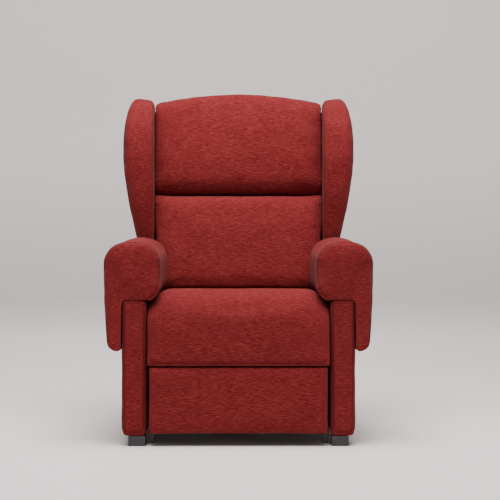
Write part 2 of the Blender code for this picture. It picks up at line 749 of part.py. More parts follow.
def build_leg_panel(fabric, steel):
    """The padded leg-rest panel and the brackets behind it."""
    pivot = hinge_empty("leg_panel_pivot", HINGE_PANEL)
    low = Vector((-LEG_PANEL_HALF_WIDTH, LEG_PANEL_FRONT_Y, LEG_PANEL_BOTTOM)) - pivot.location
    high = Vector((LEG_PANEL_HALF_WIDTH, LEG_PANEL_REAR_Y, LEG_PANEL_TOP)) - pivot.location
    panel = block("leg_rest_panel", low, high, fabric, pivot)
    bevel(panel, 0.010)
    near = LOWER_LINK_X + 2 * (LINK_THICKNESS + LINK_SPACE)
    far = near + LINK_THICKNESS
    notch_y = LEG_PANEL_REAR_Y + GAP - HINGE_PANEL[0]
    for word, side in SIDES.items():
        outline = rounded_outline(
            (
                ((notch_y, -0.110), 0.004),
                ((notch_y + 0.012, -0.110), 0.004),
                ((notch_y + 0.020, 0.010), 0.010),
                ((notch_y, 0.010), 0.004),
            ),
            segments=3,
        )
        bracket = side_prism(f"panel_bracket_{word}", outline, side, near, far, steel, pivot)
        ear = side_prism(
            f"panel_bracket_{word}_ear", bar_outline((0, 0), (-0.005, -0.020), 0.009), side, near, far, steel, pivot
        )
        combine(bracket, ear, "UNION")
        rivet(bracket, side, (0, 0), near - LINK_SPACE - LINK_THICKNESS, near + 0.002, steel, pivot)


# ---------------------------------------------------------------- actuators


def leg_rod_height():
    """Height of the leg actuator, level with its crank eye at both ends of the stroke."""
    return HINGE_TOP[1] - LEG_CRANK * math.cos(LEG_TURN / 2)


def back_rod_height():
    """Height of the back actuator, level with its crank eye at both ends of the stroke."""
    return BACK_PIVOT.z - BACK_CRANK * math.cos(BACK_TURN / 2)


def actuator_body(name, x, z, mouth_y, closed_y, motor_y, eye_y, plastic):
    """Sleeve with a blind bore, a motor hanging from it and a fixed eye at its closed end."""
    facing = 1 if mouth_y < closed_y else -1
    length = abs(closed_y - mouth_y)
    body = cylinder(name, (x, (mouth_y + closed_y) / 2, z), "Y", SLEEVE_RADIUS, length, plastic)
    motor_centre = (x, motor_y, z - MOTOR_LENGTH / 2)
    motor = cylinder(name + "_motor", motor_centre, "Z", MOTOR_RADIUS, MOTOR_LENGTH, plastic)
    combine(body, motor, "UNION")
    tail = block(
        name + "_tail",
        (x - EYE_HALF, min(closed_y - 0.002 * facing, eye_y + EYE_RADIUS * facing), z - EYE_RADIUS + 0.001),
        (x + EYE_HALF, max(closed_y - 0.002 * facing, eye_y + EYE_RADIUS * facing), z + EYE_RADIUS - 0.001),
        plastic,
    )
    combine(body, tail, "UNION")
    drill_x(body, eye_y, z, x, EYE_HOLE, 0.030, plastic)
    bore_length = 0.160
    bore_centre = (x, mouth_y + facing * (bore_length / 2 - 0.002), z)
    bore = cylinder(name + "_bore", bore_centre, "Y", ROD_RADIUS + RUNNING_GAP, bore_length, plastic)
    combine(body, bore, "DIFFERENCE")


def actuator_rod(name, x, z, eye_y, tail_y, steel):
    """Sliding rod with a flat eye at its outer end."""
    pivot = make_empty(name + "_slide", (x, eye_y, z))
    inner = tail_y - eye_y
    start = EYE_RADIUS * 0.6 * (1 if inner > 0 else -1)
    rod = cylinder(name, (0, (start + inner) / 2, 0), "Y", ROD_RADIUS, abs(inner - start), steel, pivot)
    eye = cylinder(name + "_eye", (0, 0, 0), "X", EYE_RADIUS, 2 * EYE_HALF, steel, pivot)
    combine(rod, eye, "UNION")
    drill_x(rod, 0, 0, 0, EYE_HOLE, 0.030, steel, pivot)


def build_actuators(plastic, steel):
    """The leg-rest actuator and the backrest actuator, each with its sliding rod."""
    leg_eye = HINGE_TOP[0] + LEG_CRANK * math.sin(LEG_TURN / 2)
    leg_z = leg_rod_height()
    actuator_body("leg_actuator", LEG_ROD_X, leg_z, -0.250, 0.080, 0.030, 0.1275, plastic)
    actuator_rod("leg_rod", LEG_ROD_X, leg_z, leg_eye, -0.120, steel)
    back_eye = BACK_PIVOT.y + BACK_CRANK * math.sin(BACK_TURN / 2)
    back_z = back_rod_height()
    actuator_body("back_actuator", BACK_ROD_X, back_z, 0.135, -0.155, -0.110, -0.2025, plastic)
    actuator_rod("back_rod", BACK_ROD_X, back_z, back_eye, 0.050, steel)


def main():
    """Builds the whole chair."""
    clear_scene()
    fabric = make_material("red_fabric", (0.30, 0.030, 0.032), 0.9)
    foot_plastic = make_material("foot_plastic", (0.060, 0.055, 0.065), 0.5)
    glide_plastic = make_material("glide_plastic", (0.45, 0.46, 0.46), 0.4)
    black_plastic = make_material("black_plastic", (0.020, 0.020, 0.022), 0.5)
    steel = make_material("black_painted_steel", (0.025, 0.025, 0.027), 0.45, 0.2)
    bright_steel = make_material("zinc_plated_steel", (0.55, 0.55, 0.56), 0.35, 1.0)
    build_arms_and_feet(fabric, foot_plastic, glide_plastic)
    build_rear_cover_and_electrics(fabric, black_plastic)
    build_base(steel, bright_steel)
    build_seat(fabric, bright_steel)
    build_backrest(fabric, steel)
    build_lower_links(steel)
    build_upper_links(steel)
    build_leg_panel(fabric, steel)
    build_actuators(black_plastic, bright_steel)


main()
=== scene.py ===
"""Upholstery, finishes and studio for a two-motor wing-back care recliner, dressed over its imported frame."""

import sys

import logging
import math
from dataclasses import dataclass, field
from enum import Enum
from typing import Callable, Iterable, Sequence

import bmesh
import bpy
import numpy as np
from mathutils import Matrix, Vector


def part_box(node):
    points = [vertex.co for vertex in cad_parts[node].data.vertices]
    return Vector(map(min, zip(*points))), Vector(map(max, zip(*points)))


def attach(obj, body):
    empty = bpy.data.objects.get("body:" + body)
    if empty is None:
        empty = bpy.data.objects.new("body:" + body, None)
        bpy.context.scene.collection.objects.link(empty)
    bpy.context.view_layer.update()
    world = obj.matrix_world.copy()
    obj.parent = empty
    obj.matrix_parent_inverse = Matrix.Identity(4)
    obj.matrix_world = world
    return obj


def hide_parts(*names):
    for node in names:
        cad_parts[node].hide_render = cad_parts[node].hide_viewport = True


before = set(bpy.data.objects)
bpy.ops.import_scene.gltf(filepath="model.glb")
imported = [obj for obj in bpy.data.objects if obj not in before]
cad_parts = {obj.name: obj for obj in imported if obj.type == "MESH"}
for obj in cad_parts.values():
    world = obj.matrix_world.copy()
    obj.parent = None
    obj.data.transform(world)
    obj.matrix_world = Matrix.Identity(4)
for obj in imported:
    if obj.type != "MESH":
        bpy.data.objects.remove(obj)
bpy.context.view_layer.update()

LOG = logging.getLogger("recliner")
TOUCH = 0.0006
FILL_FRAMES = 20
FILL_PRESSURE = 4.0
FILL_QUALITY = 4
LEAST_FACING = 0.45
FACING_SPAN = 0.4
OUT_OF_REACH = 9.0
BARREL_POWER = 2.2
GATHER_FADE = 0.011
GATHER_REACH = 0.06
BACK_PIVOT = Vector((0.0, 0.205, 0.330))
BACK_LEAN = math.radians(12.0)

Point = Sequence[float]
Reach = float | tuple[float, float] | None
Shade = tuple[float, float, float]
Outline = tuple[tuple[float, float], ...]
Settings = dict[str, object]
Inputs = dict[int | str, object]


class Axis(Enum):
    """The three directions of the row frame."""

    X = 0
    Y = 1
    Z = 2


class Body(Enum):
    """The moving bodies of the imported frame."""

    BASE = "base"
    BACK = "backrest"
    LEG_REST = "leg_rest"


# ---------------------------------------------------------------- shaping by hand


@dataclass(frozen=True)
class Zone:
    """A part of space, open along an axis that is left out.

    Attributes:
        x: One place, or the lowest and highest place, across the chair.
        y: The same from front to back.
        z: The same in height.
    """

    x: Reach = None
    y: Reach = None
    z: Reach = None

    def holds(self, point: Point) -> bool:
        """Tells whether a point lies in the zone.

        Args:
            point: The point, in metres.

        Returns:
            True when every given axis agrees.
        """
        for have, want in zip(point, (self.x, self.y, self.z)):
            if want is None:
                continue
            low, high = want if isinstance(want, tuple) else (want, want)
            if not low - TOUCH <= have <= high + TOUCH:
                return False
        return True


class Workpiece:
    """A mesh that starts as a block and is shaped in edit mode."""

    def __init__(self, name: str, low: Point, high: Point) -> None:
        """Adds the starting block.

        Args:
            name: Name of the piece.
            low: Lowest corner of the block.
            high: Highest corner of the block.
        """
        start, end = Vector(low), Vector(high)
        bpy.ops.object.select_all(action="DESELECT")
        bpy.ops.mesh.primitive_cube_add(size=1.0, location=(start + end) / 2, scale=end - start)
        self.obj = bpy.context.active_object
        self.obj.name = name
        self.obj.data.name = name
        bpy.ops.object.transform_apply(location=True, rotation=True, scale=True)

    @classmethod
    def of(cls, obj: bpy.types.Object, name: str) -> "Workpiece":
        """Takes up an object that is there already, under a new name."""
        work = cls.__new__(cls)
        work.obj = obj
        obj.name = name
        obj.data.name = name
        return work

    def _activate(self) -> None:
        """Makes this the only selected object."""
        bpy.ops.object.select_all(action="DESELECT")
        self.obj.select_set(True)
        bpy.context.view_layer.objects.active = self.obj

    def _choose(self, kind: str, zones: Iterable[Zone]) -> None:
        """Enters edit mode and selects the elements whose corners all lie in one of the zones.

        Args:
            kind: VERT, EDGE or FACE.
            zones: The zones to select in.
        """
        self._activate()
        zones = list(zones)
        bpy.ops.object.mode_set(mode="EDIT")
        bpy.ops.mesh.select_mode(type=kind)
        bpy.ops.mesh.select_all(action="DESELECT")
        shape = bmesh.from_edit_mesh(self.obj.data)
        parts = {"VERT": shape.verts, "EDGE": shape.edges, "FACE": shape.faces}[kind]
        for part in parts:
            corners = [part.co] if kind == "VERT" else [corner.co for corner in part.verts]
            if any(all(zone.holds(corner) for corner in corners) for zone in zones):
                part.select_set(True)
        shape.select_flush_mode()
        bmesh.update_edit_mesh(self.obj.data)

    def _choose_all(self) -> None:
        """Enters edit mode and selects the whole mesh."""
        self._activate()
        bpy.ops.object.mode_set(mode="EDIT")
        bpy.ops.mesh.select_all(action="SELECT")

    def _edit(self, operator: Callable[..., set[str]], **settings: object) -> "Workpiece":
        """Runs one operator on what is selected, and leaves edit mode."""
        operator(**settings)
        bpy.ops.object.mode_set(mode="OBJECT")
        return self

    def cut(self, axis: Axis, *places: float) -> "Workpiece":
        """Cuts the whole mesh across one axis at each place.

        Args:
            axis: Axis that the cutting plane stands square to.
            places: Where along it, in metres.

        Returns:
            The workpiece itself.
        """
        normal = [0.0, 0.0, 0.0]
        normal[axis.value] = 1.0
        for place in places:
            self._choose_all()
            self._edit(bpy.ops.mesh.bisect, plane_co=[place * part for part in normal], plane_no=normal)
        return self

    def pull(self, zone: Zone, by: Point) -> "Workpiece":
        """Extrudes the faces in a zone and moves them."""
        self._choose("FACE", [zone])
        return self._edit(bpy.ops.mesh.extrude_region_move, TRANSFORM_OT_translate={"value": tuple(by)})

    def shift(self, zone: Zone, by: Point) -> "Workpiece":
        """Moves the corners in a zone."""
        self._choose("VERT", [zone])
        return self._edit(bpy.ops.transform.translate, value=tuple(by))

    def round_off(self, radius: float, *zones: Zone, segments: int = 5) -> "Workpiece":
        """Bevels the edges that lie wholly in one of the zones."""
        self._choose("EDGE", zones)
        return self._edit(
            bpy.ops.mesh.bevel, offset=radius, segments=segments, profile=0.5, affect="EDGES",
            clamp_overlap=True,
        )

    def round_all(self, radius: float, segments: int = 3, angle: float = 50.0) -> "Workpiece":
        """Bevels every edge that is sharper than an angle in degrees."""
        limit = math.radians(angle)
        return self.modify("BEVEL", width=radius, segments=segments, limit_method="ANGLE", angle_limit=limit)

    def drop(self, zone: Zone) -> None:
        """Deletes the faces in a zone."""
        self._choose("FACE", [zone])
        self._edit(bpy.ops.mesh.delete, type="FACE")

    def turn_inward(self) -> None:
        """Turns every face the other way."""
        self._choose_all()
        self._edit(bpy.ops.mesh.flip_normals)

    def apply(self, modifier: bpy.types.Modifier) -> None:
        """Applies one modifier to the mesh."""
        self._activate()
        bpy.ops.object.modifier_apply(modifier=modifier.name)

    def modify(self, kind: str, **settings: object) -> "Workpiece":
        """Adds one modifier with its settings, and applies it."""
        modifier = self.obj.modifiers.new(kind.lower(), kind)
        for key, setting in settings.items():
            setattr(modifier, key, setting)
        self.apply(modifier)
        return self

    def remesh(self, size: float) -> None:
        """Covers the shape with an even mesh, whose edges have the given length."""
        self.modify("REMESH", mode="VOXEL", voxel_size=size)

    def relax(self, rounds: int) -> None:
        """Smooths the mesh a number of times."""
        self.modify("SMOOTH", factor=0.5, iterations=rounds)

    def refine(self) -> None:
        """Subdivides the whole mesh once, smoothly."""
        self.modify("SUBSURF", levels=1, render_levels=1)

    def _rows(self, key: str) -> np.ndarray:
        """Reads one vector of each point, one row each."""
        found = np.empty(len(self.obj.data.vertices) * 3, np.float32)
        self.obj.data.vertices.foreach_get(key, found)
        return found.reshape(-1, 3).astype(np.float64)

    def points(self) -> np.ndarray:
        """The mesh's points, one row each."""
        return self._rows("co")

    def normals(self) -> np.ndarray:
        """The mesh's outward directions, one row for each point."""
        return self._rows("normal")

    def place_points(self, points: np.ndarray) -> None:
        """Moves the mesh's points to the given rows."""
        self.obj.data.vertices.foreach_set("co", points.astype(np.float32).ravel())
        self.obj.data.update()

    def smooth(self) -> None:
        """Shades the piece smoothly."""
        self._activate()
        bpy.ops.object.shade_smooth()

    def mirrored(self, name: str) -> "Workpiece":
        """Makes the other side's piece, with its own mesh turned the right way out.

        Args:
            name: Name of the copy.

        Returns:
            The copy as a workpiece.
        """
        copy = self.obj.copy()
        copy.data = self.obj.data.copy()
        bpy.context.scene.collection.objects.link(copy)
        twin = Workpiece.of(copy, name)
        twin.obj.scale.x = -1.0
        twin._activate()
        bpy.ops.object.transform_apply(location=True, rotation=True, scale=True)
        twin._choose_all()
        return twin._edit(bpy.ops.mesh.normals_make_consistent, inside=False)


# ---------------------------------------------------------------- sewing and filling


@dataclass(frozen=True)
class Seam:
    """A sewn line, given as a flat outline that is pressed into the surface facing it.

    Attributes:
        axis: Direction that the outline is seen along.
        line: Corners of the outline, in the two other axes.
        near: Lowest and highest place along the axis where the line bites.
        closed: Whether the last corner joins the first.
        width: Half-width of the groove.
        depth: Depth of the groove.
        pucker: Height of the gathers beside it.
        pitch: Length of one gather along the line.
    """

    axis: Axis
    line: Outline
    near: tuple[float, float]
    closed: bool = False
    width: float = 0.0032
    depth: float = 0.0030
    pucker: float = 0.0008
    pitch: float = 0.017

    def measure(self, points: np.ndarray) -> tuple[np.ndarray, np.ndarray]:
        """Finds how far each point is from the line, and where along it.

        Args:
            points: Rows of points.

        Returns:
            The distances, and the lengths along the line, in metres.
        """
        flat = np.delete(points, self.axis.value, axis=1)
        corners = np.array(self.line)
        if self.closed:
            corners = np.vstack([corners, corners[:1]])
        best = np.full(len(points), OUT_OF_REACH)
        along = np.zeros(len(points))
        walked = 0.0
        for start, end in zip(corners[:-1], corners[1:]):
            run = end - start
            length = float(np.hypot(*run))
            share = np.clip(((flat - start) @ run) / length**2, 0.0, 1.0)
            away = np.hypot(*(flat - start - share[:, None] * run).T)
            closer = away < best
            best = np.where(closer, away, best)
            along = np.where(closer, walked + share * length, along)
            walked += length
        depth = points[:, self.axis.value]
        best[(depth < self.near[0]) | (depth > self.near[1])] = OUT_OF_REACH
        return best, along


@dataclass(frozen=True)
class Rest:
    """A flat place where a pad lies against its neighbour.

    Attributes:
        axis: Axis that the flat place stands square to.
        faces: 1 where it faces along the axis, -1 where it faces against it.
        place: Where it stands, in metres.
        zone: The part of the pad that it holds for.
    """

    axis: Axis
    faces: int
    place: float
    zone: Zone

    def press(self, points: np.ndarray, normals: np.ndarray) -> None:
        """Moves the points that face the neighbour onto the plane.

        Args:
            points: Rows of points, changed in place.
            normals: Outward direction of each.
        """
        inside = np.array([self.zone.holds(point) for point in points])
        turned = normals[:, self.axis.value] * self.faces
        facing = np.clip((turned - LEAST_FACING) / FACING_SPAN, 0.0, 1.0) * inside
        points[:, self.axis.value] += facing * (self.place - points[:, self.axis.value])


@dataclass
class Pad:
    """One padded piece: its cut shape, what it fills out to, and what it stands for.

    Attributes:
        work: The cut shape.
        low: Lowest corner of the filled piece.
        high: Highest corner of the filled piece.
        body: Body that it rides on.
        stands_for: CAD nodes that it replaces.
        seams: Its sewn lines.
        mesh: Length of one mesh edge while it fills.
        rise: The most that a point may move while it fills.
        fullness: From 0, slack, to 1, tight; not used.
        spare_low: How much wider than its box it fills out at the low sides, and is pressed flat.
        spare_high: The same at the high sides.
        rests: Flat places where it lies against a neighbour.
        barrel: How far its front falls back from the middle of its height to its bottom and to its top.
        soften: Rounds of smoothing before it fills.
        press: Rounds of smoothing after it has filled.
        leans: Whether it is cut in the backrest's own upright frame.
        twin: Name and CAD nodes of the piece on the other side, if there is one.
    """

    work: Workpiece
    low: Point
    high: Point
    body: Body
    stands_for: tuple[str, ...]
    seams: tuple[Seam, ...] = ()
    mesh: float = 0.007
    rise: float = 0.022
    fullness: float = 0.8
    spare_low: Point = (0.0, 0.0, 0.0)
    spare_high: Point = (0.0, 0.0, 0.0)
    rests: tuple[Rest, ...] = ()
    barrel: tuple[float, float] = (0.0, 0.0)
    soften: int = 0
    press: int = 3
    leans: bool = False
    twin: tuple[str, tuple[str, ...]] | None = None

    def loosen(self, inset: float = 0.35) -> None:
        """Remeshes the cut shape and shrinks it a little, so that filling brings it back to size.

        Args:
            inset: Share of the rise that the shape starts inside its box.
        """
        self.work.remesh(self.mesh)
        if self.soften:
            self.work.relax(self.soften)
        points = self.work.points()
        low, high = points.min(0), points.max(0)
        centre, size = (low + high) / 2, high - low
        scale = 1.0 - 2.0 * inset * self.rise / size
        self.work.place_points(centre + (points - centre) * scale)

    def settle(self, rest: np.ndarray) -> None:
        """Caps how far filling has moved each point.

        Args:
            rest: The points before filling.
        """
        moved = self.work.points() - rest
        far = np.linalg.norm(moved, axis=1, keepdims=True)
        capped = self.rise * np.tanh(far / self.rise)
        self.work.place_points(rest + moved * capped / np.maximum(far, 1e-9))

    def fit(self) -> None:
        """Stretches the piece along each axis to fill its box, and presses it flat where it has spare."""
        points = self.work.points()
        share = (points - points.min(0)) / np.ptp(points, axis=0)
        low, high = np.array(self.low), np.array(self.high)
        start, end = low - np.array(self.spare_low), high + np.array(self.spare_high)
        points = start + share * (end - start)
        if any(self.barrel):
            height = (points[:, 2] - (low[2] + high[2]) / 2) / ((high[2] - low[2]) / 2)
            depth = np.clip((high[1] - points[:, 1]) / (high[1] - low[1]), 0.0, 1.0)
            fall = np.where(height < 0.0, self.barrel[0], self.barrel[1])
            points[:, 1] += fall * np.abs(height) ** BARREL_POWER * depth
        normals = self.work.normals()
        for rest in self.rests:
            rest.press(points, normals)
        self.work.place_points(np.clip(points, low, high))

    def sew(self) -> None:
        """Presses the seams in, gathers the fabric beside them and marks the grooves, where the finish paints
        shade.
        """
        points, normals = self.work.points(), self.work.normals()
        lift = self._ripple(points)
        seam_shade_mask = np.zeros(len(points))
        for seam in self.seams:
            away, along = seam.measure(points)
            groove = np.exp(-((away / seam.width) ** 2))
            lips = np.exp(-(((away - 2.6 * seam.width) / (1.4 * seam.width)) ** 2))
            beat = np.sin(2.0 * math.pi * along / seam.pitch) + 0.6 * np.sin(5.3 * along / seam.pitch + 1.0)
            gather = seam.pucker * beat * np.exp(-away / GATHER_FADE) * (away < GATHER_REACH)
            lift += gather - seam.depth * groove + 0.25 * seam.depth * lips
            # painted shade: the groove's mask, which the fabric uses to darken its colour along each seam
            seam_shade_mask = np.maximum(seam_shade_mask, groove)
        self.work.place_points(points + normals * lift[:, None])
        # kept as the seam attribute, which paints shade into the seam grooves
        attribute = self.work.obj.data.attributes.new("seam", "FLOAT", "POINT")
        attribute.data.foreach_set("value", seam_shade_mask.astype(np.float32))

    @staticmethod
    def _ripple(points: np.ndarray) -> np.ndarray:
        """Faint unevenness of stuffed fabric, as a lift for each point in metres."""
        x, y, z = points.T
        broad = np.sin(31.0 * x + 17.0 * z + 1.3) * np.sin(23.0 * y - 29.0 * z + 0.4)
        small = np.sin(71.0 * x - 43.0 * y + 2.1) * np.sin(63.0 * z + 37.0 * x)
        return 0.0006 * broad + 0.0002 * small

    def upright(self) -> None:
        """Brings a piece cut in the backrest's own frame to its leaning place."""
        if self.leans:
            turn = Matrix.Translation(BACK_PIVOT) @ Matrix.Rotation(-BACK_LEAN, 4, "X")
            self.work.obj.data.transform(turn)

    def declare(self, work: Workpiece, nodes: tuple[str, ...], fabric: bpy.types.Material) -> None:
        """Dresses one finished piece and ties it to the frame.

        Args:
            work: The piece.
            nodes: CAD nodes that it replaces.
            fabric: Its material.
        """
        work.smooth()
        work.obj.data.materials.clear()
        work.obj.data.materials.append(fabric)
        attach(work.obj, self.body.value)
        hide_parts(*nodes)
        LOG.info("%s: %d points, on %s", work.obj.name, len(work.obj.data.vertices), self.body.value)

    def complete(self, fabric: bpy.types.Material) -> None:
        """Refines, sews, places and dresses the piece, and its twin.

        Args:
            fabric: The upholstery material.
        """
        self.work.refine()
        self.fit()
        self.sew()
        self.upright()
        if self.twin:
            name, nodes = self.twin
            self.declare(self.work.mirrored(name), nodes, fabric)
        self.declare(self.work, self.stands_for, fabric)


@dataclass
class FillingRoom:
    """Every padded piece, filled together in one cloth simulation."""

    pads: list[Pad] = field(default_factory=list)

    def add(self, pad: Pad) -> None:
        """Takes in one cut piece."""
        self.pads.append(pad)

    def fill(self) -> None:
        """Blows every piece up against its fabric, then applies and caps the result."""
        for pad in self.pads:
            pad.loosen()
        rests = [pad.work.points() for pad in self.pads]
        cloths = [self._cloth(pad) for pad in self.pads]
        scene = bpy.context.scene
        for step in range(1, FILL_FRAMES + 1):
            scene.frame_set(step)
        for pad, rest, cloth in zip(self.pads, rests, cloths):
            pad.work.apply(cloth)
            pad.settle(rest)
            pad.work.relax(pad.press)
        scene.frame_set(1)

    @staticmethod
    def _cloth(pad: Pad) -> bpy.types.Modifier:
        """Adds the cloth simulation to one piece.

        Args:
            pad: The piece.

        Returns:
            The Cloth modifier.
        """
        cloth = pad.work.obj.modifiers.new("filling", "CLOTH")
        cloth.settings.quality = FILL_QUALITY
        cloth.settings.use_pressure = True
        cloth.settings.uniform_pressure_force = FILL_PRESSURE
        cloth.settings.effector_weights.gravity = 0.0
        cloth.collision_settings.use_collision = False
        cloth.point_cache.frame_start = 1
        cloth.point_cache.frame_end = FILL_FRAMES
        return cloth


# ---------------------------------------------------------------- finishes


class Value:
    """A number socket that takes part in Python expressions."""

    def __init__(self, graph: "Graph", socket: bpy.types.NodeSocket) -> None:
        """Wraps one output socket of a graph."""
        self.graph = graph
        self.socket = socket

    def _math(self, operation: str, first: "Value | float", second: "Value | float" = 0.0) -> "Value":
        """Adds one Math node, and gives its result."""
        made = self.graph.node("ShaderNodeMath", {"operation": operation}, {0: first, 1: second})
        return Value(self.graph, made.outputs[0])

    def __add__(self, other: "Value | float") -> "Value":
        """Sum."""
        return self._math("ADD", self, other)

    def __sub__(self, other: "Value | float") -> "Value":
        """Difference."""
        return self._math("SUBTRACT", self, other)

    def __rsub__(self, other: float) -> "Value":
        """Difference from a plain number."""
        return self._math("SUBTRACT", other, self)

    def __mul__(self, other: "Value | float") -> "Value":
        """Product."""
        return self._math("MULTIPLY", self, other)

    def __abs__(self) -> "Value":
        """Size without sign."""
        return self._math("ABSOLUTE", self)

    __radd__ = __add__
    __rmul__ = __mul__

    def between(self, low: float, high: float) -> "Value":
        """How far the value has come from low to high, held from 0 to 1 and smooth."""
        ends = {0: self, 1: low, 2: high, 3: 0.0, 4: 1.0}
        made = self.graph.node("ShaderNodeMapRange", {"interpolation_type": "SMOOTHSTEP"}, ends)
        return Value(self.graph, made.outputs[0])


class Graph:
    """One material's nodes."""

    def __init__(self, name: str) -> None:
        """Starts an empty material."""
        self.material = bpy.data.materials.new(name)
        self.material.use_nodes = True
        self.tree = self.material.node_tree
        self.tree.nodes.clear()

    def node(
        self, kind: str, settings: Settings | None = None, inputs: Inputs | None = None
    ) -> bpy.types.Node:
        """Adds one node.

        Args:
            kind: The node's type.
            settings: Its settings; "stops" fills a colour ramp with (place, colour) pairs.
            inputs: Values, sockets or other nodes' results for its sockets.

        Returns:
            The node.
        """
        made = self.tree.nodes.new(kind)
        for key, setting in (settings or {}).items():
            if key == "stops":
                self._set_stops(made, setting)
            else:
                setattr(made, key, setting)
        for key, given in (inputs or {}).items():
            socket = given.socket if isinstance(given, Value) else given
            if isinstance(socket, bpy.types.NodeSocket):
                self.tree.links.new(socket, made.inputs[key])
            else:
                made.inputs[key].default_value = socket
        return made

    @staticmethod
    def _set_stops(ramp: bpy.types.Node, stops: Sequence[tuple[float, Shade]]) -> None:
        """Fills a colour ramp with the place and colour of each stop."""
        while len(ramp.color_ramp.elements) < len(stops):
            ramp.color_ramp.elements.new(0.5)
        for element, (place, shade) in zip(ramp.color_ramp.elements, stops):
            element.position = place
            element.color = (*shade, 1.0)

    def own_place(self) -> bpy.types.NodeSocket:
        """The point's place on the object."""
        return self.node("ShaderNodeTexCoord").outputs["Object"]

    def own_facing(self, axis: Axis) -> Value:
        """How much the surface faces along one axis of the object, with its sign."""
        facing = self.node("ShaderNodeTexCoord").outputs["Normal"]
        return Value(self, self.node("ShaderNodeSeparateXYZ", None, {0: facing}).outputs[axis.value])

    def noise(
        self, place: bpy.types.NodeSocket, size: Shade, detail: float = 2.0, rough: float = 0.5
    ) -> Value:
        """Noise whose patches have the given size along each axis.

        Args:
            place: Coordinates.
            size: Length of a patch along x, y and z, in metres.
            detail: Octaves.
            rough: How strong the finer octaves are.

        Returns:
            The noise, around 0.5.
        """
        repeats = tuple(1.0 / part for part in size)
        scaled = self.node("ShaderNodeVectorMath", {"operation": "MULTIPLY"}, {0: place, 1: repeats})
        inputs = {"Vector": scaled.outputs[0], "Scale": 1.0, "Detail": detail, "Roughness": rough}
        return Value(self, self.node("ShaderNodeTexNoise", None, inputs).outputs[0])

    def tint(self, share: Value | float, first: object, second: object) -> bpy.types.NodeSocket:
        """Mixes two colours.

        Args:
            share: How much of the second.
            first: A colour or a colour socket.
            second: The same.

        Returns:
            The colour socket.
        """
        start, end = ((*part, 1.0) if isinstance(part, tuple) else part for part in (first, second))
        made = self.node("ShaderNodeMix", {"data_type": "RGBA"}, {0: share, 6: start, 7: end})
        return made.outputs[2]

    def bump(self, height: Value, strength: float, distance: float) -> bpy.types.NodeSocket:
        """Turns a height into a surface direction, with a relief of some distance in metres."""
        inputs = {"Strength": strength, "Distance": distance, "Height": height}
        return self.node("ShaderNodeBump", None, inputs).outputs[0]

    def finish(self, inputs: Inputs) -> bpy.types.Material:
        """Adds the shader with its values and links, and the output."""
        shader = self.node("ShaderNodeBsdfPrincipled", None, inputs)
        self.node("ShaderNodeOutputMaterial", None, {0: shader.outputs[0]})
        return self.material


@dataclass(frozen=True)
class MelangeCloth:
    """Woven upholstery with mixed yarns, lying along the width of the chair.

    Attributes:
        name: Name of the material.
        yarn: Main colour.
        light_yarn: Colour of the lighter slubs.
        dark_yarn_and_seam_shade: Colour between the threads, and the painted shade in the seam grooves.
        slub: Length of one slub.
        thread: Distance between two threads.
    """

    name: str = "melange_cloth"
    yarn: Shade = (0.112, 0.0052, 0.0066)
    light_yarn: Shade = (0.260, 0.040, 0.038)
    dark_yarn_and_seam_shade: Shade = (0.052, 0.0012, 0.0022)
    slub: float = 0.0150
    thread: float = 0.0012

    def make(self) -> bpy.types.Material:
        """Builds the material.

        Returns:
            The material.
        """
        graph = Graph(self.name)
        place = graph.own_place()
        across = abs(graph.own_facing(Axis.X)).between(0.60, 0.80)
        weft = self._threads(graph, place, across)
        warp = graph.noise(place, (self.thread, self.thread, self.slub * 0.5), 1.0)
        fuzz = graph.noise(place, (0.0012, 0.0012, 0.0012), 1.0)
        cloud = graph.noise(place, (0.11, 0.11, 0.06), 2.0)
        # the seam attribute marks the grooves, whose shade is painted into the colour
        seam = Value(graph, graph.node("ShaderNodeAttribute", {"attribute_name": "seam"}).outputs["Fac"])
        light = weft.between(0.36, 0.84) * 0.66 + fuzz.between(0.50, 0.90) * 0.18
        dark = (1.0 - weft).between(0.46, 0.84) * 0.55 + warp.between(0.45, 0.85) * 0.22
        colour = graph.tint(light, self.yarn, self.light_yarn)
        colour = graph.tint(dark, colour, self.dark_yarn_and_seam_shade)
        colour = graph.tint(cloud.between(0.35, 0.75) * 0.16, colour, self.dark_yarn_and_seam_shade)
        # painted shade: darkens the colour in the seam grooves
        colour = graph.tint(seam * 0.55, colour, self.dark_yarn_and_seam_shade)
        height = weft * 0.6 + warp * 0.25 + fuzz * 0.25
        return graph.finish(
            {
                "Base Color": colour,
                "Roughness": 0.82 + cloud * 0.16,
                "Specular IOR Level": 0.12,
                "Sheen Weight": 0.03,
                "Sheen Roughness": 0.60,
                "Sheen Tint": (1.0, 0.64, 0.60, 1.0),
                "Normal": graph.bump(height, 0.55, 0.0009),
            }
        )

    def _threads(self, graph: Graph, place: bpy.types.NodeSocket, across: Value) -> Value:
        """The slubs, along the width on the front and top and along the depth on the sides.

        Args:
            graph: The material's graph.
            place: Coordinates.
            across: How far the surface faces sideways.

        Returns:
            The slub noise.
        """
        front = graph.noise(place, (self.slub, self.thread, self.thread), 1.5, 0.5)
        side = graph.noise(place, (self.thread, self.slub, self.thread), 1.5, 0.5)
        return front * (1.0 - across) + side * across


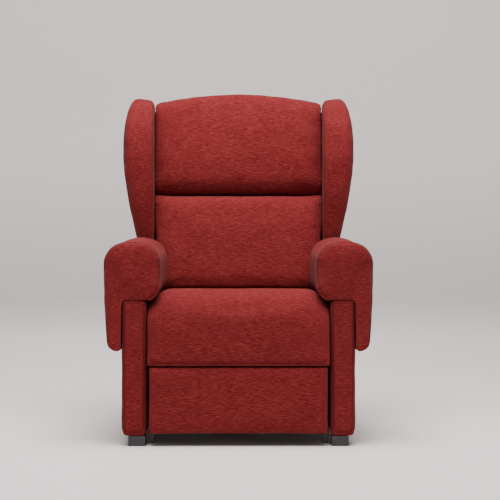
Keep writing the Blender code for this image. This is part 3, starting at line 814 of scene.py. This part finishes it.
@dataclass(frozen=True)
class Coat:
    """A painted, plated or moulded finish with fine unevenness.

    Attributes:
        name: Name of the material.
        colour: Main colour.
        rubbed: Colour where it is handled or thin.
        rough: Roughness.
        metal: From 0, not metal, to 1, metal.
        grain: Size of the surface texture.
        relief: Height of the surface texture.
        streak: How many times longer the texture is along the depth of the chair.
    """

    name: str
    colour: Shade
    rubbed: Shade
    rough: float
    metal: float = 0.0
    grain: float = 0.0015
    relief: float = 0.0001
    streak: float = 1.0

    def make(self) -> bpy.types.Material:
        """Builds the material.

        Returns:
            The material.
        """
        graph = Graph(self.name)
        place = graph.own_place()
        fine = graph.noise(place, (self.grain, self.grain * self.streak, self.grain), 2.0)
        patch = graph.noise(place, (0.030, 0.030, 0.030), 3.0, 0.6)
        worn = patch.between(0.52, 0.78) * 0.55 + fine.between(0.6, 0.8) * 0.15
        colour = graph.tint(worn, self.colour, self.rubbed)
        return graph.finish(
            {
                "Base Color": colour,
                "Metallic": self.metal,
                "Roughness": self.rough - 0.08 + patch * 0.16 + fine * 0.06,
                "Normal": graph.bump(fine, 0.5, self.relief),
            }
        )


class Finishes(Enum):
    """Every hard finish on the chair."""

    BLACK_STEEL = Coat(
        "powder_coated_steel", (0.018, 0.018, 0.019), (0.045, 0.044, 0.043),
        rough=0.48, grain=0.0012, relief=0.0002,
    )
    ZINC_STEEL = Coat(
        "zinc_plated_steel", (0.52, 0.53, 0.54), (0.36, 0.37, 0.40),
        rough=0.34, metal=1.0, grain=0.0030, relief=0.0001,
    )
    SPRING_STEEL = Coat(
        "spring_steel", (0.20, 0.20, 0.21), (0.32, 0.31, 0.30),
        rough=0.38, metal=1.0, grain=0.0010, relief=0.0001,
    )
    ROD_STEEL = Coat(
        "ground_rod_steel", (0.62, 0.62, 0.63), (0.54, 0.54, 0.55),
        rough=0.18, metal=1.0, grain=0.0006, relief=0.00005, streak=6.0,
    )
    HOUSING = Coat(
        "black_moulded_plastic", (0.016, 0.016, 0.017), (0.028, 0.028, 0.029),
        rough=0.52, grain=0.0009, relief=0.0002,
    )
    FOOT = Coat(
        "foot_plastic", (0.022, 0.019, 0.021), (0.036, 0.032, 0.035),
        rough=0.50, grain=0.0010, relief=0.0002,
    )
    GLIDE = Coat(
        "glide_plastic", (0.085, 0.085, 0.085), (0.13, 0.13, 0.13),
        rough=0.42, grain=0.0010, relief=0.0001,
    )


# ---------------------------------------------------------------- sub-assemblies


def rectangle(low: Point, high: Point, corner: float = 0.0) -> Outline:
    """A rectangle from its lowest to its highest corner, with cut corners, as a seam outline."""
    (x0, z0), (x1, z1) = low, high
    return (
        (x0 + corner, z0), (x1 - corner, z0), (x1, z0 + corner), (x1, z1 - corner),
        (x1 - corner, z1), (x0 + corner, z1), (x0, z1 - corner), (x0, z0 + corner),
    )


@dataclass
class SeatUnit:
    """The seat cushion, whose front rolls over and runs down to the leg rest."""

    half_width: float = 0.2640
    front: float = -0.418
    rear: float = 0.096
    underside: float = 0.3262
    crest: float = 0.4535
    crest_place: float = -0.310
    rear_drop: float = 0.024
    apron_rear: float = -0.354
    apron_bottom: float = 0.2342
    roll: float = 0.096
    shoulders: Outline = (
        (0.2640, -0.042), (0.250, -0.030), (0.238, -0.022), (0.224, -0.009), (0.205, -0.002),
    )

    def build(self, room: FillingRoom) -> None:
        """Cuts the cushion.

        Args:
            room: Where it is filled.
        """
        half = self.half_width
        low, high = (-half, self.front, self.underside), (half, self.rear, self.crest)
        work = Workpiece("seat_cushion_cover", low, high)
        work.cut(Axis.Y, self.apron_rear, self.crest_place)
        work.shift(Zone(y=self.rear, z=self.crest), (0, 0, -self.rear_drop))
        apron = Zone(y=(self.front, self.apron_rear), z=self.underside)
        work.pull(apron, (0, 0, self.apron_bottom - self.underside))
        for place, _ in self.shoulders[1:]:
            work.cut(Axis.X, -place, place)
        upper = (self.crest - self.rear_drop, self.crest)
        for place, drop in self.shoulders:
            for side in (-1, 1):
                work.shift(Zone(x=side * place, z=upper), (0, 0, drop))
        work.round_off(self.roll, Zone(y=self.front, z=(self.crest - 0.05, self.crest)), segments=8)
        work.round_all(0.010)
        line = rectangle((-half + 0.010, self.apron_bottom + 0.009), (half - 0.010, 0.380), 0.010)
        hem = (line[7], line[0], line[1], line[2])
        room.add(
            Pad(
                work, (-half, self.front, self.apron_bottom), high,
                Body.BASE, ("seat_cushion", "seat_apron"),
                (Seam(Axis.Y, hem, (-0.425, -0.395), depth=0.0012, pucker=0.0004),),
                rise=0.006, fullness=0.8, soften=10, press=8,
                spare_low=(0.005, 0.0, 0.005), spare_high=(0.005, 0.003, 0.0),
            )
        )


@dataclass
class ArmUnit:
    """The arm pads, hooked over the side panels, and the panels themselves."""

    inner: float = 0.2250
    outer: float = 0.3930
    front: float = -0.412
    rear: float = 0.094
    underside: float = 0.4256
    top: float = 0.5980
    skirt_inner: float = 0.3405
    skirt_bottom: float = 0.2750
    skirt_taper: float = 0.012
    outer_radius: float = 0.062
    inner_radius: float = 0.056
    under_radius: float = 0.042
    hem_radius: float = 0.026
    panel_low: Point = (0.2662, -0.402, 0.030)
    panel_high: Point = (0.3400, 0.268, 0.4250)
    panel_steps: Outline = ((0.234, -0.083), (0.268, -0.155))
    seam: Outline = (
        (0.378, 0.300), (0.387, 0.400), (0.388, 0.520), (0.382, 0.558), (0.364, 0.581),
        (0.335, 0.592), (0.285, 0.592), (0.260, 0.586), (0.242, 0.570), (0.232, 0.548),
        (0.229, 0.512), (0.230, 0.474), (0.239, 0.446), (0.256, 0.432),
    )

    def build(self, room: FillingRoom) -> None:
        """Cuts the arm pad and the side panel of one side, to be filled in the room; their twins follow."""
        self._pad(room)
        self._panel(room)

    def _pad(self, room: FillingRoom) -> None:
        """Cuts the arm pad."""
        low, high = (self.inner, self.front, self.underside), (self.outer, self.rear, self.top)
        work = Workpiece("arm_pad_cover_right", low, high)
        work.cut(Axis.X, self.skirt_inner)
        skirt = Zone(x=(self.skirt_inner, self.outer), z=self.underside)
        work.pull(skirt, (0, 0, self.skirt_bottom - self.underside))
        work.shift(Zone(x=self.outer, z=self.skirt_bottom), (-self.skirt_taper, 0, 0))
        work.round_off(self.outer_radius, Zone(x=self.outer, z=self.top), segments=8)
        work.round_off(self.inner_radius, Zone(x=self.inner, z=self.top), segments=8)
        work.round_off(self.under_radius, Zone(x=self.inner, z=self.underside), segments=6)
        hem = Zone(x=self.outer - self.skirt_taper, z=self.skirt_bottom)
        work.round_off(self.hem_radius, hem, segments=5)
        work.round_all(0.007, segments=4)
        over = Zone(x=(0.262, 0.346), z=(0.40, 0.45))
        beside = Zone(x=(0.330, 0.360), z=(0.28, 0.42))
        room.add(
            Pad(
                work, (self.inner, self.front, self.skirt_bottom), high, Body.BASE, ("arm_pad_right",),
                (Seam(Axis.Y, self.seam, (-0.43, -0.385), depth=0.0022, pucker=0.0006),),
                mesh=0.0065, rise=0.006, fullness=0.85, twin=("arm_pad_cover_left", ("arm_pad_left",)),
                rests=(Rest(Axis.Z, -1, 0.4257, over), Rest(Axis.X, -1, self.skirt_inner, beside)),
            )
        )

    def _panel(self, room: FillingRoom) -> None:
        """Cuts the side panel."""
        low, high = self.panel_low, self.panel_high
        work = Workpiece("side_panel_cover_right", low, high)
        work.cut(Axis.Y, 0.098, 0.234)
        for place, drop in self.panel_steps:
            work.shift(Zone(y=place, z=high[2]), (0, 0, drop))
        work.round_all(0.013, segments=4, angle=20.0)
        line = rectangle((0.2745, 0.040), (0.3315, 0.4165), 0.010)
        edge = Seam(Axis.Y, line, (-0.42, -0.385), closed=True, depth=0.0010, pucker=0.0003, width=0.0028)
        room.add(
            Pad(
                work, low, high, Body.BASE, ("side_panel_right",), (edge,),
                rise=0.005, fullness=0.7, twin=("side_panel_cover_left", ("side_panel_left",)),
                spare_low=(0.003, 0.0, 0.002), spare_high=(0.002, 0.002, 0.003),
            )
        )


@dataclass
class BackUnit:
    """The backrest's cushions, wings and rear cover, cut in the backrest's own frame."""

    front: float = -0.134
    cushion_rear: float = -0.0117
    crown_cuts: tuple[float, ...] = (0.0, 0.25, 0.5, 0.75, 0.9)
    head: tuple[float, float, float, float] = (0.3925, 0.690, 0.7270, 0.2685)
    lumbar: tuple[float, float, float, float] = (0.076, 0.3885, 0.246, 0.2680)
    cover: tuple[float, float, float, float, float, float] = (0.2692, 0.020, 0.668, 0.701, 0.0157, 0.070)
    wing_edge: Outline = (
        (0.084, -0.119), (0.180, -0.134), (0.262, -0.160), (0.345, -0.199), (0.430, -0.227),
        (0.530, -0.237), (0.600, -0.231), (0.650, -0.208), (0.694, -0.168),
    )
    wing_side: Outline = (
        (0.042, 0.298), (0.150, 0.304), (0.248, 0.321), (0.323, 0.347), (0.371, 0.360), (0.436, 0.368),
        (0.484, 0.370), (0.549, 0.3705), (0.597, 0.369), (0.655, 0.361), (0.694, 0.346),
    )
    wing_cuts: int = 12
    wing_low: Point = (0.2702, -0.236, 0.042)
    wing_high: Point = (0.3665, 0.038, 0.694)
    wing_foot: float = 0.084
    wing_seam: Outline = (
        (0.030, 0.060), (-0.085, 0.095), (-0.128, 0.262), (-0.165, 0.345), (-0.192, 0.430),
        (-0.198, 0.530), (-0.188, 0.620), (-0.145, 0.660), (0.030, 0.664),
    )

    def build(self, room: FillingRoom) -> None:
        """Cuts every soft piece of the backrest.

        Args:
            room: Where they are filled.
        """
        self._head(room)
        self._lumbar(room)
        self._wing(room)
        self._cover(room)

    def _crown(self, work: Workpiece, half: float, shoulder: float, crown: float) -> None:
        """Raises the top of a block to a shallow arch.

        Args:
            work: The block, with its top at the shoulder.
            half: Half of its width.
            shoulder: Height at the ends.
            crown: Height in the middle.
        """
        places = [half * share for share in self.crown_cuts]
        for place in places:
            work.cut(Axis.X, *sorted({-place, place}))
        for place in places:
            lift = (crown - shoulder) * (1.0 - (place / half) ** 2)
            for side in sorted({-place, place}):
                work.shift(Zone(x=side, z=shoulder), (0, 0, lift))

    def _side_seams(
        self, inset: float, low: float, high: float, reach: float, pucker: float
    ) -> tuple[Seam, ...]:
        """The gathered seams down both sides of a cushion.

        Args:
            inset: How far behind the front they run.
            low: Bottom of the cushion.
            high: Top of the cushion.
            reach: How far from the middle the sides begin.
            pucker: Height of the gathers.

        Returns:
            The left and the right seam.
        """
        line = ((self.front + inset, low + 0.02), (self.front + inset, high - 0.01))
        return tuple(Seam(Axis.X, line, near, pucker=pucker) for near in ((-0.3, -reach), (reach, 0.3)))

    def _head(self, room: FillingRoom) -> None:
        """Cuts the head cushion."""
        bottom, shoulder, crown, half = self.head
        low = (-half, self.front, bottom)
        work = Workpiece("head_cushion_cover", low, (half, self.cushion_rear, shoulder))
        self._crown(work, half, shoulder, crown)
        work.round_off(0.030, Zone(y=self.front, z=(shoulder, crown)), segments=6)
        work.round_off(0.034, Zone(y=self.front, z=bottom), segments=6)
        work.round_all(0.014, segments=4)
        room.add(
            Pad(
                work, low, (half, self.cushion_rear, crown), Body.BACK, ("head_cushion",),
                self._side_seams(0.030, bottom, shoulder, half - 0.020, 0.0012),
                rise=0.007, barrel=(0.020, 0.018), fullness=0.85, leans=True,
                spare_low=(0.011, 0.0, 0.004), spare_high=(0.011, 0.003, 0.0),
            )
        )

    def _lumbar(self, room: FillingRoom) -> None:
        """Cuts the lumbar cushion."""
        bottom, top, foot, half = self.lumbar
        low, high = (-half, self.front, bottom), (half, self.cushion_rear, top)
        work = Workpiece("lumbar_cushion_cover", low, high)
        for side in (-1, 1):
            work.shift(Zone(x=side * half, z=bottom), (side * (foot - half), 0, 0))
        work.round_off(0.020, Zone(y=self.front, z=top), segments=6)
        work.round_all(0.013, segments=4)
        room.add(
            Pad(
                work, low, high, Body.BACK, ("lumbar_cushion",),
                self._side_seams(0.026, bottom, top, foot - 0.010, 0.0007),
                rise=0.007, barrel=(0.003, 0.016), fullness=0.8, leans=True,
                spare_low=(0.010, 0.0, 0.003), spare_high=(0.010, 0.003, 0.003),
            )
        )

    def _wing(self, room: FillingRoom) -> None:
        """Cuts the right wing; its twin follows."""
        (inner, front, low), (outer, rear, top) = self.wing_low, self.wing_high
        work = Workpiece("wing_cover_right", self.wing_low, self.wing_high)
        edge = np.polynomial.Polynomial.fit(*zip(*self.wing_edge), 5)
        side = np.polynomial.Polynomial.fit(*zip(*self.wing_side), 5)
        heights = [float(height) for height in np.linspace(low, top, self.wing_cuts + 2)]
        work.cut(Axis.Z, *heights[1:-1])
        for height in heights:
            work.shift(Zone(y=front, z=height), (0, float(edge(max(height, self.wing_foot))) - front, 0))
            work.shift(Zone(x=outer, z=height), (float(side(height)) - outer, 0, 0))
        work.shift(Zone(y=(-0.14, -0.10), z=low), (0, 0, 0.042))
        work.shift(Zone(x=inner, z=top), (0, 0, -0.010))
        self._round_wing(work, inner, low, top)
        room.add(
            Pad(
                work, self.wing_low, (outer + 0.001, rear, top), Body.BACK, ("wing_right",),
                (Seam(Axis.X, self.wing_seam, (0.300, 0.40), pucker=0.0, depth=0.0016),),
                mesh=0.0065, rise=0.006, fullness=0.85, leans=True, soften=14, press=6,
                twin=("wing_cover_left", ("wing_left",)),
                spare_low=(0.006, 0.0, 0.0), spare_high=(0.0, 0.002, 0.0),
            )
        )

    @staticmethod
    def _round_wing(work: Workpiece, inner: float, low: float, top: float) -> None:
        """Rolls the wing's front and top edges.

        Args:
            work: The wing.
            inner: Its inner face.
            low: Its lowest place.
            top: Its top.
        """
        outside, front, height = (0.28, 0.40), (-0.25, -0.10), (low, top)
        work.round_off(0.036, Zone(outside, front, height), Zone(x=outside, z=top), segments=6)
        work.round_off(0.010, Zone(inner, front, height), Zone(x=inner, z=top - 0.010), segments=4)
        work.round_all(0.010, segments=3)

    def _cover(self, room: FillingRoom) -> None:
        """Cuts the rear cover."""
        half, bottom, shoulder, crown, near, far = self.cover
        work = Workpiece("rear_cover_fabric", (-half, near, bottom), (half, far, shoulder))
        self._crown(work, half, shoulder, crown)
        work.round_all(0.009, segments=4)
        line = rectangle((-half + 0.016, bottom + 0.016), (half - 0.016, shoulder - 0.012), 0.012)
        hem = ((-half + 0.02, 0.110), (half - 0.02, 0.110))
        room.add(
            Pad(
                work, (-half, near, bottom), (half, far, crown), Body.BACK, ("rear_cover",),
                (
                    Seam(Axis.Y, line, (0.05, 0.09), closed=True, depth=0.0022, pucker=0.0006),
                    Seam(Axis.Y, hem, (0.05, 0.09), depth=0.0020, pucker=0.0003),
                ),
                mesh=0.008, rise=0.007, fullness=0.7, leans=True,
                spare_low=(0.016, 0.003, 0.0), spare_high=(0.016, 0.0, 0.0),
            )
        )


@dataclass
class LegRestUnit:
    """The padded leg-rest panel."""

    low: Point = (-0.2585, -0.4145, 0.0382)
    high: Point = (0.2585, -0.3772, 0.2288)

    def build(self, room: FillingRoom) -> None:
        """Cuts the panel.

        Args:
            room: Where it is filled.
        """
        work = Workpiece("leg_rest_cover", self.low, self.high)
        work.round_off(0.012, Zone(x=self.low[0]), Zone(x=self.high[0]), segments=4)
        work.round_all(0.009, segments=3, angle=60.0)
        room.add(
            Pad(
                work, self.low, self.high, Body.LEG_REST, ("leg_rest_panel",),
                mesh=0.006, rise=0.005, fullness=0.7,
                spare_low=(0.005, 0.0, 0.006), spare_high=(0.005, 0.002, 0.006),
            )
        )


@dataclass
class RearSkirt:
    """The low upholstered board between the side panels at the rear, which fills its CAD box."""

    def build(self, room: FillingRoom) -> None:
        """Cuts the board cover.

        Args:
            room: Where it is filled.
        """
        low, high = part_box("rear_valance")
        work = Workpiece("rear_valance_cover", low, high)
        work.round_all(0.004, segments=3)
        room.add(
            Pad(
                work, tuple(low), tuple(high), Body.BASE, ("rear_valance",),
                mesh=0.004, rise=0.002, fullness=0.5,
                spare_low=(0.002, 0.001, 0.001), spare_high=(0.002, 0.001, 0.001),
            )
        )


@dataclass
class Undercarriage:
    """The steel frame, drives, feet and glides, which keep their CAD shapes."""

    finishes: dict[Finishes, tuple[str, ...]] = field(
        default_factory=lambda: {
            Finishes.BLACK_STEEL: (
                "base_", "mechanism_", "seat_rail_", "back_upright_", "back_bracket_", "back_rail_",
                "torque_", "lower_link_", "upper_link_", "panel_bracket_",
            ),
            Finishes.ZINC_STEEL: ("back_pivot_pin_", "arm_bolt_"),
            Finishes.SPRING_STEEL: ("seat_spring_",),
            Finishes.ROD_STEEL: ("leg_rod", "back_rod"),
            Finishes.HOUSING: ("leg_actuator", "back_actuator", "control_box", "power_inlet"),
            Finishes.FOOT: ("foot_",),
            Finishes.GLIDE: ("glide_",),
        }
    )

    def dress(self) -> None:
        """Gives every shown CAD node its finish."""
        for finish, starts in self.finishes.items():
            material = finish.value.make()
            for name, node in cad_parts.items():
                if name.startswith(starts):
                    self._coat(node, material)
                    LOG.info("%s: %s", name, material.name)

    @staticmethod
    def _coat(node: bpy.types.Object, material: bpy.types.Material) -> None:
        """Puts one material in every slot of a node."""
        for slot in node.material_slots:
            slot.material = material


@dataclass
class Studio:
    """Floor, backdrop, lights and camera."""

    camera_place: Point = (0.0, -5.4, 0.714)
    camera_aim: Point = (0.036, 0.0, 0.558)
    lens: float = 124.6
    floor_colour: Shade = (0.66, 0.615, 0.595)
    wall_glow: Shade = (0.20, 0.195, 0.19)
    room_radius: float = 9.0
    room_height: float = 7.0

    def build(self) -> None:
        """Sets everything round the chair."""
        self._sweep()
        self._light("key", (0.0, -0.9, 3.3), (0.0, -0.1, 0.4), 2.4, 280.0)
        self._light("front_fill", (-1.2, -4.6, 2.2), (0.0, 0.0, 0.6), 2.2, 20.0)
        self._light("side_fill", (3.2, -1.5, 1.6), (0.0, 0.0, 0.5), 1.8, 12.0)
        self._light("rear_fill", (-0.5, 3.6, 2.6), (0.0, 0.2, 0.6), 2.4, 40.0)
        self._light("wall_wash", (0.0, 4.0, 5.2), (0.0, 8.5, 1.0), 3.0, 260.0)
        self._world()
        self._camera()

    def _sweep(self) -> None:
        """Makes the floor and a wall all round, joined by a wide curve."""
        bpy.ops.object.select_all(action="DESELECT")
        middle = (0, 0, self.room_height / 2)
        bpy.ops.mesh.primitive_cylinder_add(
            vertices=96, radius=self.room_radius, depth=self.room_height, location=middle
        )
        bpy.ops.object.transform_apply(location=True, rotation=True, scale=True)
        room = Workpiece.of(bpy.context.active_object, "studio_sweep")
        room.drop(Zone(z=self.room_height))
        room.round_off(1.8, Zone(z=0.0), segments=14)
        room.turn_inward()
        room.smooth()
        graph = Graph("studio_paper")
        place = graph.own_place()
        height = Value(graph, graph.node("ShaderNodeSeparateXYZ", None, {0: place}).outputs[2])
        cloud = graph.noise(place, (1.8, 1.8, 1.8), 2.0)
        colour = graph.tint(cloud.between(0.3, 0.8) * 0.08, self.floor_colour, (0.56, 0.53, 0.515))
        glow = graph.tint(height.between(0.02, 1.2), (0.0, 0.0, 0.0), self.wall_glow)
        paper = {"Base Color": colour, "Roughness": 0.75, "Specular IOR Level": 0.2}
        material = graph.finish(paper | {"Emission Color": glow, "Emission Strength": 1.0})
        room.obj.data.materials.clear()
        room.obj.data.materials.append(material)

    @staticmethod
    def _hang(name: str, data: bpy.types.ID, place: Point, aim: Point) -> bpy.types.Object:
        """Adds a light or a camera at its place, pointing at its aim."""
        thing = bpy.data.objects.new(name, data)
        thing.location = place
        thing.rotation_euler = (Vector(aim) - Vector(place)).to_track_quat("-Z", "Y").to_euler()
        bpy.context.scene.collection.objects.link(thing)
        return thing

    def _light(self, name: str, place: Point, aim: Point, size: float, power: float) -> None:
        """Adds one soft light.

        Args:
            name: Name of the light.
            place: Where it hangs.
            aim: What it points at.
            size: Side of its square.
            power: Strength in watts.
        """
        data = bpy.data.lights.new(name, "AREA")
        data.size = size
        data.energy = power
        self._hang(name, data, place, aim)

    @staticmethod
    def _world() -> None:
        """Adds the even light of the room."""
        world = bpy.data.worlds.new("room")
        world.use_nodes = True
        background = world.node_tree.nodes["Background"]
        background.inputs["Color"].default_value = (0.95, 0.95, 1.0, 1.0)
        background.inputs["Strength"].default_value = 0.14
        bpy.context.scene.world = world

    def _camera(self) -> None:
        """Adds the camera at its viewing angle."""
        data = bpy.data.cameras.new("camera")
        data.lens = self.lens
        data.sensor_width = 36.0
        data.clip_end = 60.0
        bpy.context.scene.camera = self._hang("camera", data, self.camera_place, self.camera_aim)


def clear_startup() -> None:
    """Removes the startup cube, light and camera."""
    for name in ("Cube", "Light", "Camera"):
        if name in bpy.data.objects:
            bpy.data.objects.remove(bpy.data.objects[name])


def main() -> None:
    """Builds and dresses the chair, then sets up the studio."""
    logging.basicConfig(level=logging.INFO, format="%(message)s", stream=sys.stdout)
    clear_startup()
    room = FillingRoom()
    for unit in (SeatUnit(), ArmUnit(), BackUnit(), LegRestUnit(), RearSkirt()):
        unit.build(room)
        LOG.info("cut: %s", type(unit).__name__)
    room.fill()
    fabric = MelangeCloth().make()
    for pad in room.pads:
        pad.complete(fabric)
    Undercarriage().dress()
    Studio().build()


if __name__ == "__main__":
    main()
